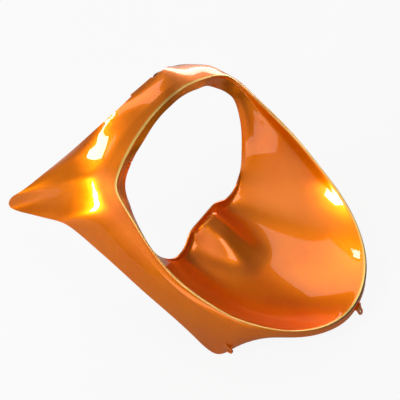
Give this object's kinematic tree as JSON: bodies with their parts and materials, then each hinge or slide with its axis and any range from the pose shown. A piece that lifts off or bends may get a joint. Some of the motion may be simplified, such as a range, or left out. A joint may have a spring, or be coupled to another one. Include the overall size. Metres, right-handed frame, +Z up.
{
  "type": "scooter front spoiler",
  "caption": "Moulded front spoiler for a scooter: rimmed wheel bowl with a large steering opening, side flanks and swept wing tips.",
  "frame": {"origin": "middle of the box that holds the spoiler, on the floor it lies on", "axes": "+X across, square to the plane of symmetry; +Y along the floor from the front edge to the rear wing tips; +Z up. The rim is raised 36.3 degrees at the rear."},
  "size_m": [0.3418, 0.4318, 0.2329],
  "materials": {
    "painted_shell": "metallic orange paint under clear coat"
  },
  "bodies": {
    "root": {"shell": "painted_shell"}
  },
  "joints": []
}
